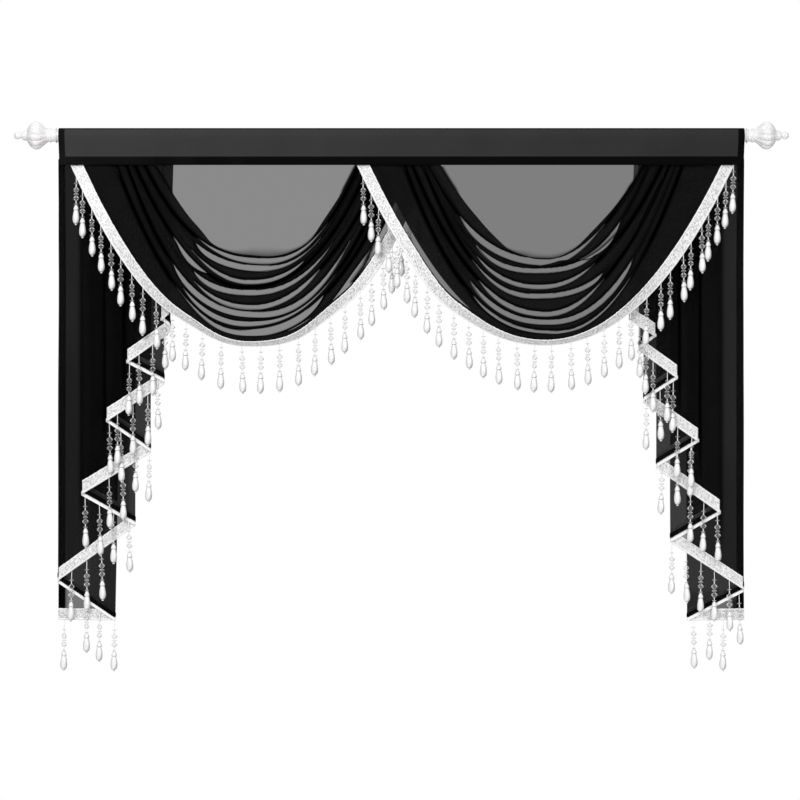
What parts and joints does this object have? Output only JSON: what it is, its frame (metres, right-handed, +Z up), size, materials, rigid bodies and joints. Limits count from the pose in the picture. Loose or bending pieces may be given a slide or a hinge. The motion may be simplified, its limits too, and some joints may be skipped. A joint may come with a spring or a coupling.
{
  "type": "swag and tail drape on a curtain rod",
  "caption": "Sheer festoon valance with overlapping swags and stepped pleated tails, braided hems and hanging bead fringes, on a round rod with turned finials.",
  "frame": {"origin": "on the rod's axis, at the middle of its length", "axes": "+X along the rod to the viewer's right, +Y towards the wall, +Z up"},
  "size_m": [1.6956, 0.1148, 1.2053],
  "materials": {
    "pole_enamel": "white gloss enamel",
    "finial_enamel": "pearly white gloss",
    "heading_cloth": "dense black plain weave",
    "black_voile": "sheer black voile",
    "white_braid": "white glitter braid with a corded edge",
    "pearl_beads": "pearl and clear crystal beads"
  },
  "bodies": {
    "root": {"rod": "pole_enamel", "finial_left": "finial_enamel", "finial_right": "finial_enamel", "heading": "heading_cloth", "swag_left": "black_voile", "swag_right": "black_voile", "tail_left": "black_voile", "tail_right": "black_voile", "braid_swag_left": "white_braid", "braid_swag_right": "white_braid", "braid_tail_left": "white_braid", "braid_tail_right": "white_braid", "beads_swag_left": "pearl_beads", "beads_swag_right": "pearl_beads", "beads_tail_left": "pearl_beads", "beads_tail_right": "pearl_beads"}
  },
  "joints": []
}
